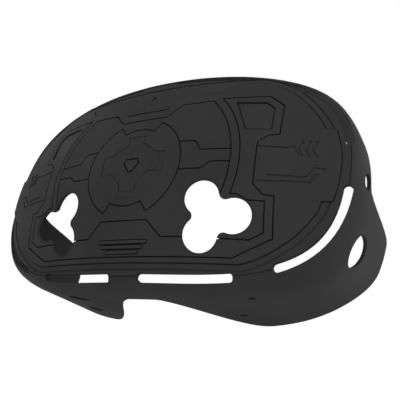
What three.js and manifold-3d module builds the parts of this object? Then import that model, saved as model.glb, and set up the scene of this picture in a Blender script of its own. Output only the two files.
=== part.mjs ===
// Protective front cover for a stand-alone headset: a bean-shaped face with raised armour panels,
// a rounded shoulder and a skirt that slides back over the headset's body.
// Millimetres. X runs across the face, Y runs from the face to the open back, Z is up as worn.
// The part stands on the two lobes of its skirt, with the origin under the middle of its box.

import * as THREE from 'three';
import { mergeVertices } from 'three/addons/utils/BufferGeometryUtils.js';
import Module from 'manifold-3d';

const wasm = await Module();
wasm.setup();

// Face: its crease line, and the double curve that it bulges with
const face_half_width = 91.2;
const face_rise = 48.8;
const face_drop = 48.5;
const top_handle = 72;
const bottom_handle = 52.5;
const side_handle_up = 34.5;
const side_handle_down = 52;
const curve_radius_across = 201;
const curve_radius_up = 127;
const curve_taper_length = 840;
const front_line_drop = 14;

// Shell: its walls, the shoulder that it turns back with, and how its skirt widens
const front_wall = 2.4;
const skirt_wall = 1.5;
const shoulder_depth = 17.3;
const bottom_shoulder = 4.25;
const lower_side_shoulder = 3.3;
const upper_side_shoulder = 3;
const top_shoulder = 4.1;
const lower_corner_shoulder = 3.7;
const upper_corner_shoulder = 1.7;
const bottom_flare_share = 0.154;
const lower_side_flare_share = 0.028;
const upper_side_flare_share = 0.018;
const top_flare_share = 0.03;
const lower_corner_flare_share = -0.067;
const upper_corner_flare_share = -0.19;
const crease_groove_width = 1.3;
const crease_groove_depth = 0.5;

// Where the skirt ends, measured back from the foremost line of the face: lowest at the sides, with an
// arch for the nose in the bottom and a notch in each side that leaves room for the strap's arm
const side_end = 80;
const lobe_end = 64.2;
const top_end = 64;
const flat_turn_share = 0.5;
const nose_arch_end = 21.8;
const nose_arch_half_width = 4.6;
const nose_arch_run = 40.5;
const notch_end = 44.5;
const side_step_foot = -19;
const side_step_head = -3;
const notch_foot = -17;
const notch_foot_head = -3.5;
const notch_head_foot = 15;
const notch_head = 25;

// Plates: how they sit in the pocket of the shell
const plate_thickness = 1.2;
const plate_proud = 0.6;
const seat_gap = 0.3;
const panel_groove = 0.6;

// Hub in the middle of the face: radii as shares of the face's half width, and its angles
const disc_radius_share = 0.2664;
const disc_notch_share = 0.2083;
const arc_inner_share = 0.5033;
const arc_band_share = 0.0406;
const disc_horn_angle = 27.2;
const disc_notch_angle = 24.5;
const gem_groove = 0.7;

// Small pieces set in the plates, and the lines engraved in them
const inset_sink = 0.7;
const brow_bar_length = 23;
const brow_bar_width = 1.3;
const brow_bar_rise = 5.5;
const slat_count = 3;
const slat_length = 24;
const slat_width = 1.3;
const slat_pitch = 2.1;
const slat_drop = 9.1;
const slat_proud = 0.4;
const trace_width = 0.7;
const trace_depth = 0.35;
const rim_line_offset = 2.5;
const rim_line_width = 0.6;
const dimple_height = 39.2;
const dimple_radius = 1.3;
const dimple_depth = 1;

// Camera windows, three round lobes each: places and radii as shares of the face's half sizes
const window_x_share = 0.439;
const window_z_share = -0.4954;
const window_spread_share = 0.0965;
const window_web_share = 0.0274;
const window_lobe_share = 0.0811;
const window_relief = 1.3;

// Vents along the crease, and the strap and cable openings in the sides of the skirt
const vent_width = 3.5;
const vent_depth = 5;
const oval_place = 38.8;
const oval_height = -31.8;
const oval_half_length = 9;
const oval_half_width = 6.6;
const oval_lean = 0.28;
const side_hole_place = 38;
const side_hole_height = -2.4;
const side_hole_half_length = 4.8;
const side_hole_half_width = 3.6;
const side_hole_lean = 0.6;
const sideways_start = 60;

// Facets: runs of the crease's right half, as the share where each ends and its number of steps
const crease_run_shares = [[0.412, 16], [0.478, 7], [0.56, 4], [0.62, 5], [1, 14]];

// Facets: steps of the curved slabs and of arcs
const front_rings = 4;
const slab_columns = 16;
const slab_rows = 9;
const arc_step = 9;
const round_step = 15;
const cap_step = 45;
const vent_steps = 8;
const curve_steps = 7;
const merge_share = 0.000001;
const shoulder_shares = [0, 0.04, 0.2, 0.5, 1];
const skirt_shares = [0.5, 1];
const inner_turn_share = 0.55;

// Overrun of every cutting tool
const overrun = 12;

// Angles in degrees
const full_turn = 360;
const half_turn = full_turn / 2;
const quarter_turn = full_turn / 4;
const third_turn = full_turn / 3;

const face_half_height = (face_rise + face_drop) / 2;
const pocket_depth = plate_thickness - plate_proud + seat_gap;

// Round outlines keep in step with the face: true circles at its own ratio of width to height
const face_ratio_share = 1.8746;
const upright = face_ratio_share * face_half_height / face_half_width;
const disc_radius = disc_radius_share * face_half_width;
const disc_notch_radius = disc_notch_share * face_half_width;
const arc_inner_radius = arc_inner_share * face_half_width;
const arc_outer_radius = arc_inner_radius + arc_band_share * face_half_width;
const window_x = window_x_share * face_half_width;
const window_z = window_z_share * face_half_height;
const window_spread = window_spread_share * face_half_width;
const window_web_round = window_web_share * face_half_width;
const lobe_radius = window_lobe_share * face_half_width;

// Outlines of the right half, as shares of the face's half width and half height
const field_lower_curve_shares = [
  [0.566, -0.889], [0.647, -0.834], [0.738, -0.728], [0.802, -0.629], [0.871, -0.462], [0.892, -0.36],
];
const field_side_shares = [[0.936, -0.352], [0.958, -0.17], [0.965, 0.02], [0.956, 0.18], [0.938, 0.313]];
const field_upper_curve_shares = [
  [0.894, 0.324], [0.838, 0.503], [0.744, 0.706], [0.653, 0.812], [0.582, 0.866],
];
const field_head_shares = [[0.452, 0.859], [0.43, 0.795], [0.402, 0.758]];
const brow_shares = [[0.205, 0.638], [0.134, 0.507]];
const chin_shares = [[0.13, -0.524], [0.207, -0.673]];
const chin_end_shares = [[0.42, -0.673], [0.4, -0.673]];
const brow_bar_height = brow_shares.at(-1)[1] * face_half_height + brow_bar_rise;
const slat_height = chin_shares[0][1] * face_half_height - slat_drop;
const bar_top_shares = [[0.1, 0.208], [0.316, 0.205], [0.336, 0.178], [0.357, 0.109], [0.6, 0.106]];
const bar_bottom_shares = [[0.6, -0.015], [0.4165, -0.012], [0.372, -0.075], [0.1, -0.075]];
const bracket_foot_shares = [[0.5, -0.838]];
const bracket_outer_shares = [
  [0.535, -0.84], [0.703, -0.677], [0.705, -0.329], [0.658, -0.318], [0.614, -0.228],
  [0.614, 0.17], [0.658, 0.237], [0.705, 0.245], [0.705, 0.562], [0.634, 0.676],
];
const bracket_inner_shares = [
  [0.547, -0.313], [0.596, -0.366], [0.667, -0.373], [0.666, -0.632], [0.608, -0.693], [0.46, -0.684],
];
const inset_shares = [
  [0.549, 0.307], [0.666, 0.302], [0.665, 0.529], [0.645, 0.565], [0.621, 0.602], [0.483, 0.614],
];
const arc_inner_angles = [-22, 43.9];
const arc_outer_angles = [-17.7, 41.5];

// Lines engraved at each side of the face, in the same shares
const chevron_shares = [[0.806, 0.178], [0.788, 0.106], [0.806, 0.037]];
const chevron_step_share = 0.029;
const chevron_count = 3;
const guide_shares = [[0.62, 0.124], [0.745, 0.11], [0.757, 0.127], [0.77, 0.127], [0.794, 0.04]];
const upper_trace_shares = [[0.674, -0.148], [0.827, -0.158], [0.856, -0.073], [0.9, -0.08]];
const lower_trace_shares = [[0.628, -0.2], [0.74, -0.2], [0.846, -0.203], [0.862, -0.14], [0.876, -0.132]];

// The cross of the hub and the socket round it, from the top down, as shares of the disc's radius
const socket_shares = [
  [0.2, 0.62], [0.168, 0.472], [0.358, 0.348], [0.46, 0.261], [0.687, 0.236],
  [0.677, -0.159], [0.416, -0.145], [0.197, -0.352], [0.182, -0.464], [0.209, -0.636],
];
const cross_shares = [
  [0.165, 0.528], [0.135, 0.44], [0.315, 0.285], [0.44, 0.215], [0.56, 0.21],
  [0.55, -0.132], [0.385, -0.118], [0.165, -0.32], [0.15, -0.43], [0.165, -0.503],
];
const gem_shares = [[0.133, 0.148], [0.178, 0.047], [0.048, -0.133]];

// Vents as shares of the way from the bottom middle to the top middle, along the crease, and how far
// outside the crease their middle lines run, as shares of a vent's width
const vent_shares = [
  { from: 0.037, to: 0.197, out: 0.13 },
  { from: 0.276, to: 0.457, out: -0.06 },
  { from: 0.549, to: 0.713, out: -0.1 },
  { from: 0.806, to: 0.955, out: 0 },
];

// Button openings in the bottom of the skirt, as shares of the face's half width: middle, half sizes, lean
const button_shares = [
  { x: -0.435, y: 0.285, along: 0.12, across: 0.05, lean: 0.16 },
  { x: -0.477, y: 0.482, along: 0.085, across: 0.055, lean: 0.3 },
  { x: 0.56, y: 0.274, along: 0.04, across: 0.026, lean: -0.2 },
  { x: 0.43, y: 0.493, along: 0.04, across: 0.026, lean: 0 },
];

const smooth = (value, low, high) => THREE.MathUtils.smoothstep(value, low, high);
const mix = (a, b, t) => a + (b - a) * t;

// Distance of the face's curve behind its foremost point
function faceY(x, z) {
  const up = z + front_line_drop;
  const across = x * x / (2 * curve_radius_across);
  return across * (1 + up / curve_taper_length) + up * up / (2 * curve_radius_up);
}

// Right half of the crease line round the face, from the bottom middle to the top middle
function creasePath() {
  const path = new THREE.Path();
  path.moveTo(0, -face_drop);
  path.bezierCurveTo(bottom_handle, -face_drop, face_half_width, -side_handle_down, face_half_width, 0);
  path.bezierCurveTo(face_half_width, side_handle_up, top_handle, face_rise, 0, face_rise);
  return path;
}

// The whole crease, as points with their outward normals, closest together beside the notches
function creaseRing() {
  const path = creasePath();
  const shares = [0];
  for (const [end, steps] of crease_run_shares) {
    const start = shares.at(-1);
    for (let i = 1; i <= steps; i += 1) shares.push(mix(start, end, i / steps));
  }
  const half = shares.map((share) => {
    const point = path.getPointAt(share);
    const run = path.getTangentAt(share);
    return { x: point.x, z: point.y, nx: run.y, nz: -run.x };
  });
  const other = half.slice(1, -1).reverse().map((p) => ({ ...p, x: -p.x, nx: -p.nx }));
  return half.concat(other);
}

const crease = creaseRing();

// One value for the bottom, lower side, upper side and top of the skirt, blended round it, with an
// extra for its slanting corners
function roundTheSkirt(p, [bottom, lowerSide, upperSide, top, lowerCorner, upperCorner]) {
  const side = mix(lowerSide, upperSide, smooth(p.z, side_step_foot, side_step_head));
  const corner = 4 * p.nx * p.nx * p.nz * p.nz;
  const upright = p.nz * p.nz;
  const [end, extra] = p.nz < 0 ? [bottom, lowerCorner] : [top, upperCorner];
  return mix(side, end, upright) + corner * extra;
}

// How far back the skirt reaches beside a point of the crease
function skirtEnd(p) {
  const beside = smooth(Math.abs(p.x), nose_arch_half_width, nose_arch_half_width + nose_arch_run);
  const bottom = mix(nose_arch_end, lobe_end, beside);
  const low = mix(side_end, bottom, smooth(-p.nz, flat_turn_share, 1));
  const inNotch = smooth(p.z, notch_foot, notch_foot_head);
  const overNotch = smooth(p.z, notch_head_foot, notch_head);
  return mix(mix(low, notch_end, inNotch), top_end, overNotch);
}

const shoulders = [
  bottom_shoulder, lower_side_shoulder, upper_side_shoulder, top_shoulder, lower_corner_shoulder,
  upper_corner_shoulder,
];
const flare_shares = [
  bottom_flare_share, lower_side_flare_share, upper_side_flare_share, top_flare_share,
  lower_corner_flare_share, upper_corner_flare_share,
];

// Outward step of the shell at a depth behind the crease: a quarter round, then a straight flare
function skirtStep(p, depth) {
  const turn = 1 - Math.min(depth / shoulder_depth, 1);
  return roundTheSkirt(p, shoulders) * Math.sqrt(1 - turn * turn) + roundTheSkirt(p, flare_shares) * depth;
}

// A ring of the shell at a depth behind the crease, one inset inside its outer side
function ringAt(depthOf, inset) {
  return crease.map((p) => {
    const start = faceY(p.x, p.z);
    const depth = depthOf(p, start);
    const step = skirtStep(p, depth) - inset;
    return [p.x + p.nx * step, start + depth, p.z + p.nz * step];
  });
}

const shoulderRing = (share, inset) => ringAt(() => share * shoulder_depth, inset);
const skirtDepth = (share) => (p, start) => mix(shoulder_depth, skirtEnd(p) - start, share);
const skirtRing = (share, inset) => ringAt(skirtDepth(share), inset);

// A ring of the front wall, drawn in towards the middle of the face
function faceRing(share, back, inset) {
  return crease.map((p) => {
    const x = (p.x - p.nx * inset) * share;
    const z = (p.z - p.nz * inset) * share;
    return [x, faceY(x, z) + back, z];
  });
}

// A closed skin through rings, with a pole at each end
function loft(rings, firstPole, lastPole) {
  const n = rings[0].length;
  const points = [firstPole, ...rings.flat(), lastPole];
  const last = points.length - 1;
  const index = [];
  const at = (ring, i) => 1 + ring * n + (i % n);
  for (let i = 0; i < n; i += 1) {
    index.push(0, at(0, i), at(0, i + 1));
    index.push(last, at(rings.length - 1, i + 1), at(rings.length - 1, i));
    for (let ring = 0; ring + 1 < rings.length; ring += 1) {
      index.push(at(ring, i), at(ring + 1, i), at(ring + 1, i + 1));
      index.push(at(ring, i), at(ring + 1, i + 1), at(ring, i + 1));
    }
  }
  return indexed(points.flat(), index);
}

function indexed(positions, index) {
  const geometry = new THREE.BufferGeometry();
  geometry.setAttribute('position', new THREE.Float32BufferAttribute(positions, 3));
  geometry.setIndex(index);
  return geometry;
}

// three.js geometry to solid and back
function solid(geometry) {
  const bare = geometry.clone();
  bare.deleteAttribute('normal');
  bare.deleteAttribute('uv');
  const merged = mergeVertices(bare, merge_share * face_half_width);
  const mesh = new wasm.Mesh({
    numProp: 3,
    vertProperties: new Float32Array(merged.attributes.position.array),
    triVerts: new Uint32Array(merged.index.array),
  });
  return new wasm.Manifold(mesh);
}

function toGeometry(body) {
  const mesh = body.getMesh();
  const geometry = new THREE.BufferGeometry();
  geometry.setAttribute('position', new THREE.BufferAttribute(mesh.vertProperties, 3));
  geometry.setIndex(new THREE.BufferAttribute(mesh.triVerts, 1));
  return geometry;
}

const cut = (body, ...tools) => tools.reduce((rest, tool) => rest.subtract(tool), body);

// A straight prism over a flat outline, pushed along one axis; Y takes [x, z], X takes [y, z], Z takes [x, y]
function prism(points, from, to, axis = 'y') {
  const shape = new THREE.Shape(points.map(([u, v]) => new THREE.Vector2(u, v)));
  const geometry = new THREE.ExtrudeGeometry(shape, { depth: to - from, bevelEnabled: false, steps: 1 });
  const [x, y, z] = [new THREE.Vector3(1, 0, 0), new THREE.Vector3(0, 1, 0), new THREE.Vector3(0, 0, 1)];
  const bases = { x: [y, z, x], y: [x, z, y.clone().negate()], z: [x, y, z] };
  geometry.applyMatrix4(new THREE.Matrix4().makeBasis(...bases[axis]));
  const shift = { x: [from, 0, 0], y: [0, to, 0], z: [0, 0, from] };
  geometry.translate(...shift[axis]);
  return solid(geometry);
}

// A curved slab over the whole face, between two distances behind it
function slab(front, back) {
  const points = [];
  const index = [];
  for (const offset of [front, back]) {
    for (let r = 0; r <= slab_rows; r += 1) {
      for (let c = 0; c <= slab_columns; c += 1) {
        const x = mix(-face_half_width, face_half_width, c / slab_columns);
        const z = mix(-face_drop, face_rise, r / slab_rows);
        points.push(x, faceY(x, z) + offset, z);
      }
    }
  }
  const stride = slab_columns + 1;
  const layer = stride * (slab_rows + 1);
  const quad = (a, b, c, d) => index.push(a, b, c, a, c, d);
  for (let r = 0; r < slab_rows; r += 1) {
    for (let c = 0; c < slab_columns; c += 1) {
      const a = r * stride + c;
      quad(a, a + 1, a + stride + 1, a + stride);
      quad(layer + a + stride, layer + a + stride + 1, layer + a + 1, layer + a);
    }
  }
  for (let c = 0; c < slab_columns; c += 1) {
    const top = slab_rows * stride + c;
    quad(layer + c, layer + c + 1, c + 1, c);
    quad(top, top + 1, layer + top + 1, layer + top);
  }
  for (let r = 0; r < slab_rows; r += 1) {
    const left = r * stride;
    const right = left + slab_columns;
    quad(left, left + stride, layer + left + stride, layer + left);
    quad(layer + right, layer + right + stride, right + stride, right);
  }
  return solid(indexed(points, index));
}

// Outline helpers
const place = (shares) => shares.map(([x, z]) => [x * face_half_width, z * face_half_height]);
const mirrored = (points) => points.map(([x, z]) => [-x, z]).reverse();
const bothSides = (right) => right.concat(mirrored(right));
const inStep = (points, middle = 0) => points.map(([x, z]) => [x, middle + (z - middle) * upright]);

function arc(radius, from, to, x = 0, z = 0, step = arc_step) {
  const count = Math.max(1, Math.round(Math.abs(to - from) / step));
  return Array.from({ length: count + 1 }, (_, i) => {
    const angle = THREE.MathUtils.degToRad(mix(from, to, i / count));
    return [x + radius * Math.cos(angle), z + radius * Math.sin(angle)];
  });
}

// An outline moved inwards by a distance, or outwards by a negative one
function inset(points, distance) {
  const area = points.reduce((sum, [x, z], i) => {
    const [nextX, nextZ] = points[(i + 1) % points.length];
    return sum + x * nextZ - nextX * z;
  }, 0);
  const ring = area > 0 ? points : points.toReversed();
  const normal = (a, b) => {
    const length = Math.hypot(b[0] - a[0], b[1] - a[1]);
    return [(a[1] - b[1]) / length, (b[0] - a[0]) / length];
  };
  return ring.map((p, i) => {
    const [ax, az] = normal(ring[(i + ring.length - 1) % ring.length], p);
    const [bx, bz] = normal(p, ring[(i + 1) % ring.length]);
    const reach = distance / (1 + ax * bx + az * bz);
    return [p[0] + (ax + bx) * reach, p[1] + (az + bz) * reach];
  });
}

// A strip of even width along a path, with round ends
function strip(path, width) {
  const sides = path.map((p, i) => {
    const before = path[Math.max(i - 1, 0)];
    const after = path[Math.min(i + 1, path.length - 1)];
    const length = Math.hypot(after[0] - before[0], after[1] - before[1]);
    return [-(after[1] - before[1]) / length, (after[0] - before[0]) / length];
  });
  const along = (side) => path.map(([x, z], i) => {
    const step = side * width / 2;
    return [x + step * sides[i][0], z + step * sides[i][1]];
  });
  const cap = (i, side) => {
    const start = THREE.MathUtils.radToDeg(Math.atan2(side * sides[i][1], side * sides[i][0]));
    return arc(width / 2, start, start - half_turn, ...path[i], cap_step).slice(1, -1);
  };
  return [...along(1), ...cap(path.length - 1, 1), ...along(-1).reverse(), ...cap(0, -1)];
}

// An ellipse that leans by an angle in radians
function ellipse(x, y, halfAlong, halfAcross, lean) {
  return arc(1, 0, full_turn - round_step, 0, 0, round_step).map(([cos, sin]) => {
    const along = halfAlong * cos;
    const across = halfAcross * sin;
    return [
      x + along * Math.cos(lean) - across * Math.sin(lean),
      y + along * Math.sin(lean) + across * Math.cos(lean),
    ];
  });
}

const circle = (radius, x, z) => arc(radius, 0, full_turn - round_step, x, z, round_step);
const flipped = (points) => points.map(([x, z]) => [-x, z]);

// Points of a smooth line through a few outline points
function throughPoints(points) {
  const curve = new THREE.SplineCurve(points.map(([x, z]) => new THREE.Vector2(x, z)));
  return curve.getSpacedPoints(curve_steps).map((p) => [p.x, p.y]);
}

const lowerFieldCurve = throughPoints(place(field_lower_curve_shares));
const upperFieldCurve = throughPoints(place(field_upper_curve_shares));

// Right half of the raised field's outline, from the bottom middle to the top middle
function fieldHalf() {
  return [
    ...lowerFieldCurve,
    ...place(field_side_shares),
    ...upperFieldCurve,
    ...place(field_head_shares),
  ];
}

// Right halves of the region between the cheek brackets, and of the brackets themselves
function middleHalf() {
  return [
    ...place(chin_shares),
    ...place(chin_end_shares).slice(0, 1),
    [window_x, window_z],
    ...inStep(arc(arc_inner_radius, ...arc_inner_angles)),
    ...place(brow_shares),
  ];
}

function bracketHalf() {
  return [
    ...place(bracket_foot_shares),
    ...place(bracket_outer_shares),
    ...inStep(arc(arc_outer_radius, ...arc_outer_angles.toReversed())),
    ...place(bracket_inner_shares),
    ...place(chin_end_shares).slice(1),
    ...place(chin_shares).reverse(),
  ];
}

// The disc, with a shallow notch at its top and bottom
function discOutline() {
  const horn = quarter_turn - disc_horn_angle;
  const notch = quarter_turn - disc_notch_angle;
  return inStep([
    ...arc(disc_radius, -horn, horn),
    ...arc(disc_notch_radius, notch, half_turn - notch),
    ...arc(disc_radius, half_turn - horn, half_turn + horn),
    ...arc(disc_notch_radius, half_turn + notch, full_turn - notch),
  ]);
}

// Bars that run from the disc out to the inner arc, and what lies above and below them
const barHalf = place([...bar_top_shares, ...bar_bottom_shares]);
const far = 2 * face_half_width;
const aboveBars = bothSides([...place(bar_top_shares), [far, place(bar_top_shares).at(-1)[1]], [far, far]]);
const belowBars = bothSides([[far, -far], [far, place(bar_bottom_shares)[0][1]], ...place(bar_bottom_shares)]);

const field = bothSides(fieldHalf());
const middle = bothSides(middleHalf());
const bracket = bothSides(bracketHalf());
const hubOutline = (shares) => inStep(bothSides(shares.map(([x, z]) => [x * disc_radius, z * disc_radius])));
const socket = hubOutline(socket_shares);
const gap = panel_groove / 2;

// A cutting tool that goes through the whole face
const through = (points) => prism(points, -overrun, faceY(face_half_width, face_rise) + overrun);

// A camera window: three round lobes, with a rounded tip of the web between each two
function windowOutline(growth) {
  const radius = lobe_radius + growth;
  const tip = window_web_round - growth;
  const apart = radius + tip;
  const tipSpread = (window_spread + Math.sqrt(4 * apart * apart - 3 * window_spread * window_spread)) / 2;
  const turned = (spread, angle) => arc(spread, angle, angle, window_x, window_z)[0];
  const [lobeX, lobeZ] = turned(window_spread, 0);
  const [tipX, tipZ] = turned(tipSpread, third_turn / 2);
  const lean = THREE.MathUtils.radToDeg(Math.atan2(tipZ - lobeZ, tipX - lobeX));
  const outline = [0, third_turn, 2 * third_turn].flatMap((turn) => {
    const lobe = arc(radius, turn - lean, turn + lean, ...turned(window_spread, turn), round_step);
    const from = turn + lean + half_turn;
    const middleOfWeb = turned(tipSpread, turn + third_turn / 2);
    const web = arc(tip, from, from - 2 * lean + third_turn, ...middleOfWeb, round_step);
    return [...lobe, ...web.slice(1, -1)];
  });
  return inStep(outline, window_z);
}

// Both windows as one tool; the shell's own are wider by a relief, so that they clear the lenses
function windows(growth) {
  const right = through(windowOutline(growth));
  return right.add(right.mirror([1, 0, 0]));
}

const windowTool = windows(0);
const plateSlab = slab(-plate_proud, plate_thickness - plate_proud);

// A plate of the pocket over an outline, drawn in by half a groove all round
function plate(points, distance = gap) {
  return plateSlab.intersect(through(inset(points, distance)));
}

const holeOf = (points, distance = gap) => through(inset(points, -distance));

// A shallow line engraved in the front of a plate, along a path
function engraved(front, path, width = trace_width) {
  const band = through(strip(path, width));
  return band.intersect(slab(front - overrun, front + trace_depth));
}

// Lines engraved at both sides of the face: chevrons, their guide line and two bent traces
function sideLines() {
  const paths = [guide_shares, upper_trace_shares, lower_trace_shares];
  for (let i = 0; i < chevron_count; i += 1) {
    paths.push(chevron_shares.map(([x, z]) => [x + i * chevron_step_share, z]));
  }
  const right = paths.map((shares) => engraved(-plate_proud, place(shares)));
  return right.flatMap((tool) => [tool, tool.mirror([1, 0, 0])]);
}

function outerFrame() {
  const slot = holeOf(browBarOutline(), seat_gap);
  return cut(plate(field, seat_gap), holeOf(middle), holeOf(bracket), windowTool, slot, ...sideLines());
}

function middlePlate() {
  return cut(plate(middle), holeOf(discOutline()), windowTool);
}

const upperField = () => middlePlate().intersect(through(inset(aboveBars, gap)));
const lowerField = () => middlePlate().intersect(through(inset(belowBars, gap)));
const barRight = () => middlePlate().intersect(through(inset(barHalf, gap)));
const centreDisc = () => plate(discOutline()).subtract(through(socket));

const gemOutline = () => hubOutline(gem_shares);
const hubCross = () => plate(hubOutline(cross_shares), 0).subtract(through(gemOutline()));
const hubGem = () => plate(gemOutline(), gem_groove);

const insetRight = () => place(inset_shares);
const insetSlab = slab(inset_sink - plate_proud, plate_thickness - plate_proud);
const insetPlate = (points) => insetSlab.intersect(through(inset(points, gap)));

// Slats of the louvre under the nose, longest at the top
function slatOutline(i) {
  const half = slat_length / 2 - i * slat_pitch;
  const z = slat_height - i * slat_pitch;
  return strip([[-half, z], [half, z]], slat_width);
}

const raisedSlab = slab(-slat_proud - plate_proud, plate_thickness - plate_proud);
const slatPlate = (i) => raisedSlab.intersect(through(slatOutline(i)));

function lowerBracket() {
  const slats = Array.from({ length: slat_count }, (_, i) => holeOf(slatOutline(i), seat_gap));
  return cut(plate(bracket), windowTool, holeOf(insetRight()), holeOf(flipped(insetRight())), ...slats);
}

function browBarOutline() {
  const half = (brow_bar_length - brow_bar_width) / 2;
  return strip([[-half, brow_bar_height], [half, brow_bar_height]], brow_bar_width);
}

const browBar = () => raisedSlab.intersect(through(browBarOutline()));

// Vents along the crease on both sides
function vents() {
  const path = creasePath();
  const right = vent_shares.map(({ from, to, out }) => {
    const shares = Array.from({ length: vent_steps + 1 }, (_, i) => mix(from, to, i / vent_steps));
    const points = shares.map((share) => {
      const point = path.getPointAt(share);
      const run = path.getTangentAt(share);
      return [point.x + run.y * out * vent_width, point.y - run.x * out * vent_width];
    });
    const deepest = Math.max(...points.map(([x, z]) => faceY(x, z)));
    return prism(strip(points, vent_width), -overrun, deepest + vent_depth);
  });
  return right.flatMap((tool) => [tool, tool.mirror([1, 0, 0])]);
}

// The crease groove that links the vents
function creaseGroove() {
  const front = crease.map((p) => {
    const half = crease_groove_width / 2;
    return [-1, 0, 1].map((side) => {
      const step = side * half;
      const back = side === 0 ? crease_groove_depth : -crease_groove_depth;
      return [p.x + p.nx * step, faceY(p.x, p.z) + back, p.z + p.nz * step];
    });
  });
  const n = front.length;
  const index = [];
  for (let i = 0; i < n; i += 1) {
    for (let side = 0; side < 3; side += 1) {
      const a = 3 * i + side;
      const b = 3 * i + ((side + 1) % 3);
      const c = 3 * ((i + 1) % n) + side;
      const d = 3 * ((i + 1) % n) + ((side + 1) % 3);
      index.push(a, c, b, b, c, d);
    }
  }
  return solid(indexed(front.flat(2), index));
}

// Strap and cable openings in the sides of the skirt
function sideOpenings() {
  const oval = ellipse(oval_place, oval_height, oval_half_length, oval_half_width, oval_lean);
  const small = ellipse(side_hole_place, side_hole_height, side_hole_half_length, side_hole_half_width, side_hole_lean);
  return [oval, small].flatMap((points) => {
    const tool = prism(points, sideways_start, far, 'x');
    return [tool, tool.mirror([1, 0, 0])];
  });
}

function buttonOpenings() {
  return button_shares.map(({ x, y, along, across, lean }) => {
    const sizes = [x, y, along / 2, across / 2].map((share) => share * face_half_width);
    return prism(ellipse(...sizes, lean), -far, -face_drop, 'z');
  });
}

// Thin lines engraved round the raised field, over and under it
function rimLines() {
  const lower = lowerFieldCurve.slice(0, -1);
  const paths = [[...mirrored(lower), ...lower], bothSides(upperFieldCurve.slice(1))];
  return paths.map((path) => engraved(0, inset(path, -rim_line_offset), rim_line_width));
}

// A shallow round dimple over the brow
function dimple() {
  const front = faceY(0, dimple_height);
  return prism(circle(dimple_radius, 0, dimple_height), front - overrun, front + dimple_depth);
}

// The shell: face, shoulder and skirt as one even wall
function shellWall() {
  const shares = Array.from({ length: front_rings }, (_, i) => (i + 1) / front_rings);
  const front = shares.map((share) => faceRing(share, 0, 0));
  const outside = [
    ...front,
    ...shoulder_shares.slice(1).map((share) => shoulderRing(share, 0)),
    ...skirt_shares.map((share) => skirtRing(share, 0)),
  ];
  const inside = [
    ...skirt_shares.toReversed().map((share) => skirtRing(share, skirt_wall)),
    shoulderRing(1, skirt_wall),
    shoulderRing(inner_turn_share, skirt_wall),
    faceRing(1, front_wall, skirt_wall),
    ...shares.toReversed().slice(1).map((share) => faceRing(share, front_wall, skirt_wall)),
  ];
  return solid(loft([...outside, ...inside], [0, faceY(0, 0), 0], [0, faceY(0, 0) + front_wall, 0]));
}

function shellBody() {
  const pocket = slab(-overrun, pocket_depth).intersect(through(field));
  const details = [...rimLines(), dimple(), creaseGroove()];
  const openings = [windows(window_relief), ...vents(), ...sideOpenings(), ...buttonOpenings()];
  return cut(shellWall(), pocket, ...openings, ...details);
}

// The assembly: every piece in the place where it was made, then the whole set on its origin
const plastic = { shell: 0x1c1c1d, plate: 0x1f1f20, small: 0x232324 };

function piece(name, body, colour) {
  const material = new THREE.MeshStandardMaterial({ color: colour, roughness: 0.6, metalness: 0 });
  const mesh = new THREE.Mesh(toGeometry(body), material);
  mesh.name = name;
  return mesh;
}

const cover = new THREE.Group();
cover.add(
  piece('shell', shellBody(), plastic.shell),
  piece('outer_frame', outerFrame(), plastic.plate),
  piece('upper_field', upperField(), plastic.plate),
  piece('lower_field', lowerField(), plastic.plate),
  piece('bar_left', barRight().mirror([1, 0, 0]), plastic.plate),
  piece('bar_right', barRight(), plastic.plate),
  piece('centre_disc', centreDisc(), plastic.plate),
  piece('hub_cross', hubCross(), plastic.plate),
  piece('hub_gem', hubGem(), plastic.small),
  piece('lower_bracket', lowerBracket(), plastic.plate),
  piece('inset_left', insetPlate(flipped(insetRight())), plastic.small),
  piece('inset_right', insetPlate(insetRight()), plastic.small),
  piece('brow_bar', browBar(), plastic.small),
);
for (let i = 0; i < slat_count; i += 1) {
  cover.add(piece(`chin_slat_${i + 1}`, slatPlate(i), plastic.small));
}

// The origin goes under the middle of the box round the whole cover
const box = new THREE.Box3().setFromObject(cover);
const centre = box.getCenter(new THREE.Vector3());
cover.position.set(-centre.x, -centre.y, -box.min.z);

const part = new THREE.Group();
part.add(cover);
export default part;
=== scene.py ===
# %% [markdown]
# # A front armour cover for a stand-alone headset
#
# The object is one matt black moulding: a bean-shaped face with raised panels, a rounded shoulder,
# and a skirt that slides back over the headset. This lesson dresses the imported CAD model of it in
# Blender. The CAD model is loaded first as a fixed frame, so every piece made below is built straight
# in the frame's own place and size, in metres, with Z up and the face towards minus Y.

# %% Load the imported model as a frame
import math

import bmesh
import bpy
from mathutils import Matrix, Vector


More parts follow.
